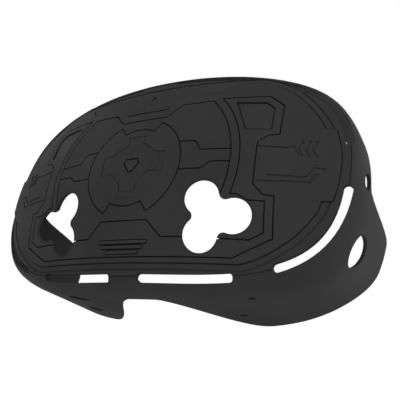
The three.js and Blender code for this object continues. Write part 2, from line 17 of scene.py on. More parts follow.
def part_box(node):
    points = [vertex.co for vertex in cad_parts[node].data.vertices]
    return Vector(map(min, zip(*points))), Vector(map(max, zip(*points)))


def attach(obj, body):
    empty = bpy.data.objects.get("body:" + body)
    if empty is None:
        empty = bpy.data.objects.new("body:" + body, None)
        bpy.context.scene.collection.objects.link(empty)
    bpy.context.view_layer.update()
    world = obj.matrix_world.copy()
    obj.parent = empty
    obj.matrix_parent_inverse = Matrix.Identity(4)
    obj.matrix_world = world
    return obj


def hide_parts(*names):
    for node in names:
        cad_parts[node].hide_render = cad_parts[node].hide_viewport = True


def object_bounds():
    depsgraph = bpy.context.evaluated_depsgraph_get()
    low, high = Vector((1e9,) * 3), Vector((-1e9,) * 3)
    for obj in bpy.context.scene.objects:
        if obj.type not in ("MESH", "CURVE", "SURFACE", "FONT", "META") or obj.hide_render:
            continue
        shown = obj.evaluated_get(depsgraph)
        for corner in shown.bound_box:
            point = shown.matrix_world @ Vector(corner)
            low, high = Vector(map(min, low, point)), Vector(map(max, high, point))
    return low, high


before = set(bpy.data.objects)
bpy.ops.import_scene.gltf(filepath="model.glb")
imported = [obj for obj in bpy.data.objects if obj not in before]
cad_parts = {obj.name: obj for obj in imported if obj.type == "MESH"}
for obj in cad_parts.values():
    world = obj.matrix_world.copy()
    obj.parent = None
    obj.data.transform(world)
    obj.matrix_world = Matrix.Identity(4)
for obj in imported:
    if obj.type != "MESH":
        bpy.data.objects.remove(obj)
cad_low, cad_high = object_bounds()
print("nodes:", ", ".join(sorted(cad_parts)))
print("box of the CAD model:", [round(v, 4) for v in (*cad_low, *cad_high)])

# %% [markdown]
# ## Where the face is
#
# All outlines below are drawn on the face, in metres from the middle of its hub. The hub's disc is
# round and its front stands a known step proud of the face's curve, so its box gives that place.

# %% The face's own zero, in the frame
MM = 0.001
PLATE_PROUD = 0.6 * MM
disc_low, disc_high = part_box("centre_disc")
FACE_ZERO = Vector((0, disc_low[1] + PLATE_PROUD, (disc_low[2] + disc_high[2]) / 2))
print("zero of the face:", [round(v, 5) for v in FACE_ZERO])

# %% [markdown]
# ## The camera
#
# The photograph was taken from the right and from a little below the cover. The place and the turn come
# from matching some seventy corners of the panels in the picture with their places on the face.

# %% Put the camera where the photograph was taken from
CAMERA_PLACE = FACE_ZERO + Vector((135.75, -172.11, -83.80)) * MM
RIGHT = Vector((0.87843, 0.46877, 0.09277))
DOWN = Vector((-0.06928, 0.31702, -0.94589))
FORWARD = Vector((-0.47281, 0.82447, 0.31096))
FOCAL_PIXELS = 525.64
PICTURE_SIZE = 400
SENSOR = 36.0
NEAREST, FARTHEST = 0.01, 10


def make_camera():
    data = bpy.data.cameras.new("camera")
    data.sensor_width = SENSOR
    data.lens = SENSOR * FOCAL_PIXELS / PICTURE_SIZE
    data.clip_start = NEAREST
    data.clip_end = FARTHEST
    camera = bpy.data.objects.new("camera", data)
    turn = Matrix((RIGHT, -DOWN, -FORWARD)).transposed().to_4x4()
    camera.matrix_world = Matrix.Translation(CAMERA_PLACE) @ turn
    bpy.context.scene.collection.objects.link(camera)
    bpy.context.scene.camera = camera
    return data


lens = make_camera()
bpy.context.scene.view_settings.view_transform = "Standard"
print("lens:", round(lens.lens, 2), "mm")

# %% [markdown]
# ## Floor, background and lamps
#
# The cover stands on a plain pale floor at the foot of its box. The photograph looks up at it from under
# that level, so the floor is seen through from below and is whole from above. It glows a little, like a
# light table, because the cover's bottom is bright in the photograph. The world is white to the camera
# and in reflections. As a light it is strong in front and weak behind, which keeps the inside dark, and
# two wide lamps shape the shoulder and the skirt. A closed studio of walls would also do, but it would
# throw its own edges into the plastic.

# %% The floor
FLOOR_SHADE, FLOOR_GLOW = 0.42, 0.6
FLOOR_ROUGHNESS, FLOOR_SHINE = 0.9, 0.1
FLOOR_HALF_SIDE = 3.0


def floor_material():
    material = bpy.data.materials.new("floor_paper")
    material.use_nodes = True
    tree = material.node_tree
    shader = tree.nodes["Principled BSDF"]
    shader.inputs["Base Color"].default_value = (FLOOR_SHADE, FLOOR_SHADE, FLOOR_SHADE, 1)
    shader.inputs["Emission Color"].default_value = (1, 1, 1, 1)
    shader.inputs["Emission Strength"].default_value = FLOOR_GLOW
    shader.inputs["Roughness"].default_value = FLOOR_ROUGHNESS
    shader.inputs["Specular IOR Level"].default_value = FLOOR_SHINE
    clear = tree.nodes.new("ShaderNodeBsdfTransparent")
    side = tree.nodes.new("ShaderNodeNewGeometry")
    mix = tree.nodes.new("ShaderNodeMixShader")
    tree.links.new(side.outputs["Backfacing"], mix.inputs["Fac"])
    tree.links.new(shader.outputs["BSDF"], mix.inputs[1])
    tree.links.new(clear.outputs["BSDF"], mix.inputs[2])
    tree.links.new(mix.outputs["Shader"], tree.nodes["Material Output"].inputs["Surface"])
    return material


def flat_floor(half_side):
    mesh = bpy.data.meshes.new("floor")
    sides = [(-1, -1), (1, -1), (1, 1), (-1, 1)]
    mesh.from_pydata([(half_side * x, half_side * y, 0) for x, y in sides], [], [(0, 1, 2, 3)])
    mesh.materials.append(floor_material())
    floor = bpy.data.objects.new("floor", mesh)
    bpy.context.scene.collection.objects.link(floor)
    return floor


floor = flat_floor(FLOOR_HALF_SIDE)
print("floor:", tuple(round(v, 1) for v in floor.dimensions))

# %% The world
SEEN_WHITE = 1.0


def camera_or_light(tree, camera_strength, light_strength):
    """One strength for the eye and for mirror rays, and a socket's own for the light on things."""
    path = tree.nodes.new("ShaderNodeLightPath")
    seen = path.outputs["Is Camera Ray"]
    for ray in ("Is Glossy Ray", "Is Transmission Ray"):
        most = tree.nodes.new("ShaderNodeMath")
        most.operation = "MAXIMUM"
        tree.links.new(seen, most.inputs[0])
        tree.links.new(path.outputs[ray], most.inputs[1])
        seen = most.outputs[0]
    strength = tree.nodes.new("ShaderNodeMapRange")
    strength.inputs["To Max"].default_value = camera_strength
    tree.links.new(light_strength, strength.inputs["To Min"])
    tree.links.new(seen, strength.inputs["Value"])
    return strength.outputs["Result"]


def front_to_back(tree, front, back):
    """A strength that changes with the direction, from the front of the room to its back."""
    way = tree.nodes.new("ShaderNodeSeparateXYZ")
    tree.links.new(tree.nodes.new("ShaderNodeTexCoord").outputs["Generated"], way.inputs[0])
    strength = tree.nodes.new("ShaderNodeMapRange")
    for slot, number in zip(("From Min", "From Max", "To Min", "To Max"), (-1, 1, front, back)):
        strength.inputs[slot].default_value = number
    tree.links.new(way.outputs["Y"], strength.inputs["Value"])
    return strength.outputs["Result"]


def white_world(front, back):
    world = bpy.data.worlds.new("studio")
    world.use_nodes = True
    bpy.context.scene.world = world
    backdrop = world.node_tree.nodes["Background"]
    backdrop.inputs["Color"].default_value = (1, 1, 1, 1)
    tree = world.node_tree
    strength = camera_or_light(tree, SEEN_WHITE, front_to_back(tree, front, back))
    tree.links.new(strength, backdrop.inputs["Strength"])


white_world(front=0.98, back=0.3)
print("world:", bpy.context.scene.world.name)

# %% The lamps
def lamp(name, place, power, size):
    """A square soft lamp that faces the middle of the cover."""
    data = bpy.data.lights.new(name, "AREA")
    data.energy = power
    data.size = size
    lamp_object = bpy.data.objects.new(name, data)
    lamp_object.location = place
    lamp_object.rotation_mode = "QUATERNION"
    towards = (cad_low + cad_high) / 2 - Vector(place)
    lamp_object.rotation_quaternion = towards.to_track_quat("-Z", "Y")
    bpy.context.scene.collection.objects.link(lamp_object)


lamp("front_lamp", place=(0.1, -1.2, 0.6), power=1.5, size=0.9)
lamp("right_lamp", place=(1.2, -0.1, 0.35), power=5.4, size=0.7)

# %% [markdown]
# ## Fields that read like sums
#
# Every main surface of the cover follows a rule, so Geometry Nodes can work it out point by point. A
# rule of twenty sums would be a tangle of Math nodes to wire by hand. The small class below lets the rule
# be written as ordinary arithmetic: each sum, product or root adds its own Math node to the tree.

# %% Arithmetic that builds Math nodes
class Field:
    def __init__(self, tree, socket):
        self.tree = tree
        self.socket = socket

    def math(self, operation, *others):
        node = self.tree.nodes.new("ShaderNodeMath")
        node.operation = operation
        for slot, value in zip(node.inputs, (self, *others)):
            if isinstance(value, Field):
                self.tree.links.new(value.socket, slot)
            else:
                slot.default_value = value
        return Field(self.tree, node.outputs[0])

    def __add__(self, other):
        return self.math("ADD", other)

    def __sub__(self, other):
        return self.math("SUBTRACT", other)

    def __rsub__(self, other):
        return (self * -1) + other

    def __mul__(self, other):
        return self.math("MULTIPLY", other)

    def __truediv__(self, other):
        return self.math("DIVIDE", other)

    def __neg__(self):
        return self * -1

    __radd__ = __add__
    __rmul__ = __mul__

    def root(self):
        return self.math("SQRT")

    def size(self):
        return self.math("ABSOLUTE")

    def over(self, other):
        return self.math("GREATER_THAN", other)


def blend(a, b, share):
    """From a to b by a share of 0 to 1."""
    return (b - a) * share + a


def ease(value, low, high):
    """0 below low, 1 above high, and a smooth step between them."""
    share = ((value - low) / (high - low)).math("MAXIMUM", 0.0).math("MINIMUM", 1.0)
    return share * share * (3.0 - share * 2.0)


print("a field can add, subtract, multiply, divide, take roots and compare")

# %% Short names for the steps that every tree needs
def new_tree(name, sizes):
    """A Geometry Nodes tree with a geometry input and one named input for each size."""
    tree = bpy.data.node_groups.new(name, "GeometryNodeTree")
    tree.interface.new_socket("Geometry", in_out="INPUT", socket_type="NodeSocketGeometry")
    tree.interface.new_socket("Geometry", in_out="OUTPUT", socket_type="NodeSocketGeometry")
    for size, value in sizes.items():
        kind = "NodeSocketInt" if isinstance(value, int) else "NodeSocketFloat"
        tree.interface.new_socket(size, in_out="INPUT", socket_type=kind).default_value = value
    start = tree.nodes.new("NodeGroupInput")
    end = tree.nodes.new("NodeGroupOutput")
    return tree, start, end, {size: Field(tree, start.outputs[size]) for size in sizes}


def split(tree, socket):
    """The three parts of a vector as fields."""
    node = tree.nodes.new("ShaderNodeSeparateXYZ")
    tree.links.new(socket, node.inputs[0])
    return [Field(tree, out) for out in node.outputs]


def move_to(tree, geometry, x, y, z):
    """Put every point at x, y, z."""
    vector = tree.nodes.new("ShaderNodeCombineXYZ")
    for field, slot in zip((x, y, z), vector.inputs):
        tree.links.new(field.socket, slot)
    node = tree.nodes.new("GeometryNodeSetPosition")
    tree.links.new(geometry, node.inputs["Geometry"])
    tree.links.new(vector.outputs[0], node.inputs["Position"])
    return node.outputs["Geometry"]


def finish_tree(tree, geometry, end):
    """Close a tree: make everything real and give it the plastic."""
    real = tree.nodes.new("GeometryNodeRealizeInstances")
    paint = tree.nodes.new("GeometryNodeSetMaterial")
    paint.inputs["Material"].default_value = plastics["shell"]
    tree.links.new(geometry, real.inputs["Geometry"])
    tree.links.new(real.outputs["Geometry"], paint.inputs["Geometry"])
    tree.links.new(paint.outputs["Geometry"], end.inputs["Geometry"])


# %% From a tree to a plain mesh
def evaluated(name, start_mesh, tree, sizes, material):
    """Run a tree on a mesh and keep the result as a plain mesh object."""
    host = bpy.data.objects.new(name, start_mesh)
    bpy.context.scene.collection.objects.link(host)
    modifier = host.modifiers.new("rule", "NODES")
    modifier.node_group = tree
    for item in tree.interface.items_tree:
        if item.in_out == "INPUT" and item.name in sizes:
            modifier[item.identifier] = sizes[item.name]
    return frozen(host, name, material)


def frozen(host, name, material):
    """Replace an object and its modifiers by the mesh that they give."""
    graph = bpy.context.evaluated_depsgraph_get()
    mesh = bpy.data.meshes.new_from_object(host.evaluated_get(graph))
    mesh.name = name
    bpy.data.objects.remove(host)
    mesh.materials.clear()
    mesh.materials.append(material)
    made = bpy.data.objects.new(name, mesh)
    bpy.context.scene.collection.objects.link(made)
    return made


print("a tree runs on a host mesh, and only the mesh that it gives is kept")

# %% [markdown]
# ## Two rules that everything follows
#
# The face is a double curve: flat enough across to look like a visor, rounder from brow to chin. Its
# crease line is four curved quarters. Both rules are written once and used for single points of an
# outline as well as for whole fields of points.

# %% The rules of the face and of its crease
HALF_WIDTH, RISE, DROP = 91.2 * MM, 48.8 * MM, 48.5 * MM
HALF_HEIGHT = (RISE + DROP) / 2
TOP_HANDLE, BOTTOM_HANDLE = 72 * MM, 52.5 * MM
HANDLE_UP, HANDLE_DOWN = 34.5 * MM, 52 * MM
CURVE_ACROSS, CURVE_UP, CURVE_TAPER = 201 * MM, 127 * MM, 840 * MM
FRONT_LINE = 14 * MM


def face_y(x, z):
    """How far the face's curve lies behind its foremost point."""
    up = z + FRONT_LINE
    return x * x * (up / CURVE_TAPER + 1) / (2 * CURVE_ACROSS) + up * up / (2 * CURVE_UP)


LOWER = ((0, -DROP), (BOTTOM_HANDLE, -DROP), (HALF_WIDTH, -HANDLE_DOWN), (HALF_WIDTH, 0))
UPPER = ((HALF_WIDTH, 0), (HALF_WIDTH, HANDLE_UP), (TOP_HANDLE, RISE), (0, RISE))


def bezier(t, a, b, c, d):
    rest = 1 - t
    return rest * rest * rest * a + rest * rest * t * 3 * b + rest * t * t * 3 * c + t * t * t * d


def bezier_run(t, a, b, c, d):
    rest = 1 - t
    return rest * rest * (b - a) + rest * t * 2 * (c - b) + t * t * (d - c)


def crease_line(steps=400):
    """The crease's right half as points, evenly spaced, from the bottom middle to the top middle."""
    raw = [tuple(bezier(i / steps, *(p[k] for p in half)) for k in (0, 1))
           for half in (LOWER, UPPER) for i in range(steps)] + [(0, RISE)]
    reach = [0]
    for a, b in zip(raw, raw[1:]):
        reach.append(reach[-1] + math.dist(a, b))
    return raw, [r / reach[-1] for r in reach]


CREASE_POINTS, CREASE_SHARES = crease_line()
TINY = 1e-9


def on_crease(share, out=0):
    """A point at a share of the way along the right half, and some way outside it."""
    i = max(1, next(k for k, s in enumerate(CREASE_SHARES) if s >= share - TINY))
    (ax, az), (bx, bz) = CREASE_POINTS[i - 1], CREASE_POINTS[i]
    part = (share - CREASE_SHARES[i - 1]) / (CREASE_SHARES[i] - CREASE_SHARES[i - 1])
    length = math.dist((ax, az), (bx, bz))
    x, z = ax + (bx - ax) * part, az + (bz - az) * part
    return x + (bz - az) / length * out, z - (bx - ax) / length * out


print("the face at the end of its half width lies", round(face_y(HALF_WIDTH, 0) / MM, 1), "mm back")

# %% [markdown]
# ## The shell's skin
#
# The moulding is one even wall: the front, a quarter-round shoulder, and a skirt that flares and ends at
# a different depth all the way round. The tree makes eight strips of points, each a grid that is wrapped
# once round the crease, and places every point by the rule of its strip. Welded together, they make one
# closed skin. Wrapped strips keep the points dense where the skirt turns and follow the real wall. A box
# with a subdivision modifier would be quicker, but its corners would not keep the measured silhouette.

# %% The rule of the skirt
WALL, FRONT_WALL = 1.5 * MM, 2.4 * MM
SHOULDER_DEPTH = 17.3 * MM
SIDE_STEP = (-19 * MM, -3 * MM)
SHOULDERS = [v * MM for v in (4.25, 3.3, 3, 4.1, 3.7, 1.7)]
FLARES = (0.154, 0.028, 0.018, 0.03, -0.067, -0.19)
RIM_ROUND = 0.35 * MM
INNER_TURN = 0.53
BESIDE_NOSE = (4.6 * MM, 45.1 * MM)
FLAT_TURN = (0.5, 1.0)
NOTCH_FOOT, NOTCH_HEAD = (-17 * MM, -3.5 * MM), (15 * MM, 25 * MM)


def round_the_skirt(c, values):
    """Bottom, lower side, upper side, top, lower corner and upper corner, blended round the skirt."""
    bottom, lower_side, upper_side, top, lower_corner, upper_corner = values
    side = blend(lower_side, upper_side, ease(c["z"], *SIDE_STEP))
    below = (-c["nz"]).over(0.0)
    upright = c["nz"] * c["nz"]
    corner = c["nx"] * c["nx"] * upright * 4
    extra = corner * blend(upper_corner, lower_corner, below)
    return blend(side, blend(top, bottom, below), upright) + extra


def skirt_end(c, ends):
    """How far back the skirt reaches: nose arch, lobes, cheeks, notches and top."""
    beside = ease(c["x"].size(), *BESIDE_NOSE)
    bottom = blend(ends["nose arch end"], ends["lobe end"], beside)
    low = blend(ends["side end"], bottom, ease(-c["nz"], *FLAT_TURN))
    in_notch = ease(c["z"], *NOTCH_FOOT)
    over_notch = ease(c["z"], *NOTCH_HEAD)
    return blend(blend(low, ends["notch end"], in_notch), ends["top end"], over_notch)


def crease_fields(u):
    """Place and outward direction on the crease for a share u of the way round."""
    way = u * 4
    left = way.over(2.0)
    half = blend(way, 4 - way, left)
    upper = half.over(1.0)
    t = half - upper
    ends = [[blend(low[k], high[k], upper) for low, high in zip(LOWER, UPPER)] for k in (0, 1)]
    x, z = bezier(t, *ends[0]), bezier(t, *ends[1])
    run_x, run_z = bezier_run(t, *ends[0]), bezier_run(t, *ends[1])
    length = (run_x * run_x + run_z * run_z).root()
    side = left * -2 + 1
    return {"x": x * side, "z": z, "nx": run_z / length * side, "nz": -(run_x / length)}


print("the shoulder turns back over", round(SHOULDER_DEPTH / MM, 1), "mm")

# %% The skin's tree
SKIN_SIZES = {
    "around": 257, "wall": WALL, "front wall": FRONT_WALL, "side end": 80 * MM, "lobe end": 64.2 * MM,
    "top end": 64 * MM, "nose arch end": 21.8 * MM, "notch end": 44.5 * MM,
}
ROWS = {"front": 20, "shoulder": 12, "skirt": 20, "rim": 5, "inner skirt": 14, "inner shoulder": 7,
        "ledge": 2, "inner front": 14}
QUARTER_TURN = math.pi / 2
WELD = 0.02 * MM


def shell_tree():
    tree, start, end, size = new_tree("shell_rule", SKIN_SIZES)
    joined = tree.nodes.new("GeometryNodeJoinGeometry")

    def strip(name, rule):
        grid = tree.nodes.new("GeometryNodeMeshGrid")
        tree.links.new(size["around"].socket, grid.inputs["Vertices X"])
        grid.inputs["Vertices Y"].default_value = ROWS[name]
        place = tree.nodes.new("GeometryNodeInputPosition")
        u, v, _ = split(tree, place.outputs[0])
        c = crease_fields(u + 0.5)
        c["start"] = face_y(c["x"], c["z"])
        c["shoulder"] = round_the_skirt(c, SHOULDERS)
        c["flare"] = round_the_skirt(c, FLARES)
        c["end"] = skirt_end(c, size) - c["start"] - RIM_ROUND
        moved = move_to(tree, grid.outputs["Mesh"], *rule(c, v + 0.5))
        tree.links.new(moved, joined.inputs["Geometry"])

    def ring(c, depth, bulge, inset, back=0):
        step = c["shoulder"] * bulge + c["flare"] * depth - inset
        return c["x"] + c["nx"] * step, c["start"] + depth + back, c["z"] + c["nz"] * step

    def front(c, share, back, inset):
        x, z = (c["x"] - c["nx"] * inset) * share, (c["z"] - c["nz"] * inset) * share
        return x, face_y(x, z) + back, z

    def turned(c, angle, inset):
        return ring(c, (1 - angle.math("COSINE")) * SHOULDER_DEPTH, angle.math("SINE"), inset)

    def ledge(c, v):
        outer = turned(c, v * 0 + INNER_TURN, size["wall"])
        inner = front(c, 1, size["front wall"], size["wall"])
        return [blend(a, b, v) for a, b in zip(outer, inner)]

    def rim(c, v):
        arc = v * math.pi
        return ring(c, c["end"], 1, size["wall"] * v, arc.math("SINE") * RIM_ROUND)

    wall = size["wall"]
    strip("front", lambda c, v: front(c, v, 0, 0))
    strip("shoulder", lambda c, v: turned(c, v * QUARTER_TURN, 0))
    strip("skirt", lambda c, v: ring(c, blend(SHOULDER_DEPTH, c["end"], v), 1, 0))
    strip("rim", rim)
    strip("inner skirt", lambda c, v: ring(c, blend(c["end"], SHOULDER_DEPTH, v), 1, wall))
    strip("inner shoulder", lambda c, v: turned(c, blend(QUARTER_TURN, INNER_TURN, v), wall))
    strip("ledge", ledge)
    strip("inner front", lambda c, v: front(c, 1 - v, size["front wall"], wall))
    flip = tree.nodes.new("GeometryNodeFlipFaces")
    weld = tree.nodes.new("GeometryNodeMergeByDistance")
    weld.inputs["Distance"].default_value = WELD
    tree.links.new(joined.outputs["Geometry"], flip.inputs["Mesh"])
    tree.links.new(flip.outputs["Mesh"], weld.inputs["Geometry"])
    finish_tree(tree, weld.outputs["Geometry"], end)
    return tree


print("strips in the skin:", ", ".join(ROWS))

# %% [markdown]
# ## Matt black plastic
#
# The moulding is injection moulded in black polymer with a spark-eroded grain: dark, dull, and a little
# duller in some places than in others. Three versions differ by a shade: the shell, the panels, and the
# small trim. Fine noise gives the grain as a bump, broad noise moves the roughness and the shade, and
# edges and corners come out a trace lighter: partly rub wear, partly a painted highlight where the light
# catches them. A photograph of plastic as a texture would need unwrapped pieces; noise on the object's
# own coordinates runs on over every seam.

# %% Short names for shader nodes
def noise(tree, coordinates, scale, detail, roughness=0.5):
    node = tree.nodes.new("ShaderNodeTexNoise")
    node.inputs["Scale"].default_value = scale
    node.inputs["Detail"].default_value = detail
    node.inputs["Roughness"].default_value = roughness
    tree.links.new(coordinates, node.inputs["Vector"])
    return node.outputs["Fac"]


def ranged(tree, value, low, high, to_low, to_high):
    node = tree.nodes.new("ShaderNodeMapRange")
    for slot, number in zip(("From Min", "From Max", "To Min", "To Max"), (low, high, to_low, to_high)):
        node.inputs[slot].default_value = number
    tree.links.new(value, node.inputs["Value"])
    return node.outputs["Result"]


def shade_between(tree, share, dark, light):
    node = tree.nodes.new("ShaderNodeMix")
    node.data_type = "RGBA"
    node.inputs["A"].default_value = (*dark, 1)
    node.inputs["B"].default_value = (*light, 1)
    tree.links.new(share, node.inputs["Factor"])
    return node.outputs["Result"]


print("noise, a new range, and a shade between two each take one call from here on")

# %% The plastic
EDGE_REACH, EDGE_SAMPLES = 0.45 * MM, 4
# Edges are painted a trace lighter: partly rub wear, partly a painted highlight where the light catches
# them.
EDGE_WEAR_AND_SHEEN = (0.02, 0.2, 0, 0.6)
MOTTLE = (0.35, 0.65, 0, 0.35)
CLOUD_LOW, CLOUD_HIGH = 0.3, 0.7
CLOUD_SCALE, CLOUD_DETAIL = 28.0, 4.0
GRAIN_DETAIL, GRAIN_ROUGHNESS = 3.0, 0.6
GRAIN_STRENGTH, GRAIN_HEIGHT = 0.25, 0.04 * MM
ROUGHNESS_SPREAD = 0.05
SHINE = 0.07


def edge_share(tree):
    """0 on even surfaces, and more where the surface turns within half a millimetre."""
    rounded = tree.nodes.new("ShaderNodeBevel")
    rounded.samples = EDGE_SAMPLES
    rounded.inputs["Radius"].default_value = EDGE_REACH
    surface = tree.nodes.new("ShaderNodeNewGeometry")
    along = tree.nodes.new("ShaderNodeVectorMath")
    along.operation = "DOT_PRODUCT"
    tree.links.new(rounded.outputs["Normal"], along.inputs[0])
    tree.links.new(surface.outputs["Normal"], along.inputs[1])
    return ranged(tree, along.outputs["Value"], 1, 0, 0, 1)


def plastic(name, dark, light, grain_scale, roughness):
    material = bpy.data.materials.new(name)
    material.use_nodes = True
    tree = material.node_tree
    shader = tree.nodes["Principled BSDF"]
    place = tree.nodes.new("ShaderNodeTexCoord").outputs["Object"]
    grain = noise(tree, place, grain_scale, GRAIN_DETAIL, GRAIN_ROUGHNESS)
    cloud = noise(tree, place, CLOUD_SCALE, CLOUD_DETAIL)
    # The edge share paints the edges lighter: partly rub wear, partly a painted highlight. The mottle is
    # a random tone.
    rubbed_and_sheen = ranged(tree, edge_share(tree), *EDGE_WEAR_AND_SHEEN)
    mottle = ranged(tree, cloud, *MOTTLE)
    mottle_wear_and_sheen = tree.nodes.new("ShaderNodeMath")
    mottle_wear_and_sheen.operation = "MAXIMUM"
    tree.links.new(rubbed_and_sheen, mottle_wear_and_sheen.inputs[0])
    tree.links.new(mottle, mottle_wear_and_sheen.inputs[1])
    tree.links.new(shade_between(tree, mottle_wear_and_sheen.outputs[0], dark, light), shader.inputs["Base Color"])
    dull, shiny = roughness + ROUGHNESS_SPREAD, roughness - ROUGHNESS_SPREAD
    uneven = ranged(tree, cloud, CLOUD_LOW, CLOUD_HIGH, dull, shiny)
    tree.links.new(uneven, shader.inputs["Roughness"])
    shader.inputs["Specular IOR Level"].default_value = SHINE
    bump = tree.nodes.new("ShaderNodeBump")
    bump.inputs["Strength"].default_value = GRAIN_STRENGTH
    bump.inputs["Distance"].default_value = GRAIN_HEIGHT
    tree.links.new(grain, bump.inputs["Height"])
    tree.links.new(bump.outputs["Normal"], shader.inputs["Normal"])
    return material


print("one plastic, with a shade, a grain and a roughness still open")

# %% Mix the shell's, the panels' and the trim's plastic
# The lighter shade serves the random mottle and the edges, where it is partly rub wear and partly a
# painted highlight.
BLACK, MOTTLE_WEAR_AND_SHEEN = (0.0245, 0.0245, 0.025), (0.034, 0.034, 0.0345)
TRIM_BLACK, TRIM_MOTTLE_WEAR_AND_SHEEN = (0.026, 0.026, 0.0265), (0.037, 0.037, 0.0375)
plastics = {
    "shell": plastic("shell_plastic", BLACK, MOTTLE_WEAR_AND_SHEEN, grain_scale=2600.0, roughness=0.7),
    "plate": plastic("panel_plastic", BLACK, MOTTLE_WEAR_AND_SHEEN, grain_scale=3000.0, roughness=0.68),
    "trim": plastic("trim_plastic", TRIM_BLACK, TRIM_MOTTLE_WEAR_AND_SHEEN, grain_scale=3400.0, roughness=0.62),
}
print("plastics:", [m.name for m in plastics.values()])

# %% Grow the skin from its tree
start_mesh = bpy.data.meshes.new("shell_start")
skin = evaluated("shell_skin", start_mesh, shell_tree(), SKIN_SIZES, plastics["shell"])
print("skin:", len(skin.data.polygons), "faces")

# %% [markdown]
# ## Drawing on the face
#
# A tool maker would cut the panels' outlines in a flat drawing and wrap them on the face. The helpers
# below do the same: they give outlines as points of x and z, as shares of the face's half width and half
# height, mirrored where the two sides match.

# %% Outline helpers
def place(shares):
    return [(x * HALF_WIDTH, z * HALF_HEIGHT) for x, z in shares]


def mirrored(points):
    return [(-x, z) for x, z in reversed(points)]


def both_sides(right):
    return list(right) + mirrored(right)


def arc(radius, first, last, x=0.0, z=0.0, step=5):
    """Points from one angle to another, in degrees, about a step apart."""
    count = max(1, round(abs(last - first) / step))
    angles = [math.radians(first + (last - first) * i / count) for i in range(count + 1)]
    return [(x + radius * math.cos(a), z + radius * math.sin(a)) for a in angles]


def oval(x, z, half_along, half_across, lean):
    turned = []
    for cos, sin in arc(1, 0, 350, step=10):
        along, across = half_along * cos, half_across * sin
        turned.append((x + along * math.cos(lean) - across * math.sin(lean),
                       z + along * math.sin(lean) + across * math.cos(lean)))
    return turned


def inset(points, distance):
    """An outline moved inwards by a distance, or outwards by a negative one."""
    area = sum(a[0] * b[1] - b[0] * a[1] for a, b in zip(points, points[1:] + points[:1]))
    ring = points if area > 0 else points[::-1]
    moved = []
    for before, here, after in zip(ring[-1:] + ring[:-1], ring, ring[1:] + ring[:1]):
        sides = []
        for a, b in ((before, here), (here, after)):
            length = math.dist(a, b)
            sides.append(((a[1] - b[1]) / length, (b[0] - a[0]) / length))
        (ax, az), (bx, bz) = sides
        reach = distance / (1 + ax * bx + az * bz)
        moved.append((here[0] + (ax + bx) * reach, here[1] + (az + bz) * reach))
    return moved


def band(path, width):
    """The outline of a strip of even width along a path, with round ends."""
    sides = []
    for i, _ in enumerate(path):
        a, b = path[max(i - 1, 0)], path[min(i + 1, len(path) - 1)]
        length = math.dist(a, b)
        sides.append((-(b[1] - a[1]) / length, (b[0] - a[0]) / length))

    def along(side):
        step = side * width / 2
        return [(x + step * n[0], z + step * n[1]) for (x, z), n in zip(path, sides)]

    def cap(i, side):
        start = math.degrees(math.atan2(side * sides[i][1], side * sides[i][0]))
        return arc(width / 2, start, start - 180, *path[i], step=15)[1:-1]

    return along(1) + cap(len(path) - 1, 1) + along(-1)[::-1] + cap(0, -1)


def smooth_line(points, steps=5):
    """A smooth curve through a few points."""
    line = []
    for i in range(len(points) - 1):
        a, b = points[max(i - 1, 0)], points[i]
        c, d = points[i + 1], points[min(i + 2, len(points) - 1)]
        for k in range(steps):
            t = k / steps
            line.append(tuple(
                (2 * b[j] - 2 * c[j] + (c[j] - a[j]) / 2 + (d[j] - b[j]) / 2) * t ** 3
                + (-3 * b[j] + 3 * c[j] - (c[j] - a[j]) - (d[j] - b[j]) / 2) * t ** 2
                + (c[j] - a[j]) / 2 * t + b[j] for j in (0, 1)))
    return line + [points[-1]]


print("a quarter arc has", len(arc(1, 0, 90)), "points")

# %% The panels' outlines
LOWER_CURVE = smooth_line(place([(0.566, -0.889), (0.647, -0.834), (0.738, -0.728), (0.802, -0.629),
                                 (0.871, -0.462), (0.892, -0.36)]))
SIDE_CURVE = smooth_line(place([(0.936, -0.352), (0.958, -0.17), (0.965, 0.02), (0.956, 0.18),
                                (0.938, 0.313)]))
UPPER_CURVE = smooth_line(place([(0.894, 0.324), (0.838, 0.503), (0.744, 0.706), (0.653, 0.812),
                                 (0.582, 0.866)]))
FIELD_HEAD = place([(0.452, 0.859), (0.43, 0.795), (0.402, 0.758)])
BROW = place([(0.205, 0.638), (0.134, 0.507)])
CHIN = place([(0.13, -0.524), (0.207, -0.673)])
CHIN_ENDS = place([(0.42, -0.673), (0.4, -0.673)])
BAR_TOP = place([(0.1, 0.208), (0.316, 0.205), (0.336, 0.178), (0.357, 0.109), (0.6, 0.106)])
BAR_BOTTOM = place([(0.6, -0.015), (0.4165, -0.012), (0.372, -0.075), (0.1, -0.075)])
BRACKET_OUTER = place([(0.5, -0.838), (0.535, -0.84), (0.703, -0.677), (0.705, -0.329), (0.658, -0.318),
                       (0.614, -0.228), (0.614, 0.17), (0.658, 0.237), (0.705, 0.245), (0.705, 0.562),
                       (0.634, 0.676)])
BRACKET_INNER = place([(0.547, -0.313), (0.596, -0.366), (0.667, -0.373), (0.666, -0.632),
                       (0.608, -0.693), (0.46, -0.684)])
INSET = place([(0.549, 0.307), (0.666, 0.302), (0.665, 0.529), (0.645, 0.565), (0.621, 0.602),
               (0.483, 0.614)])
DISC, DISC_NOTCH = 24.3 * MM, 19 * MM
DISC_END, NOTCH_END = 90 - 27.2, 90 - 24.5
ARC_INNER, ARC_OUTER = 45.9 * MM, 49.6 * MM
INNER_SWEEP, OUTER_SWEEP = (-22, 43.9), (41.5, -17.7)
SOCKET = [(0.2, 0.62), (0.168, 0.472), (0.358, 0.348), (0.46, 0.261), (0.687, 0.236), (0.677, -0.159),
          (0.416, -0.145), (0.197, -0.352), (0.182, -0.464), (0.209, -0.636)]
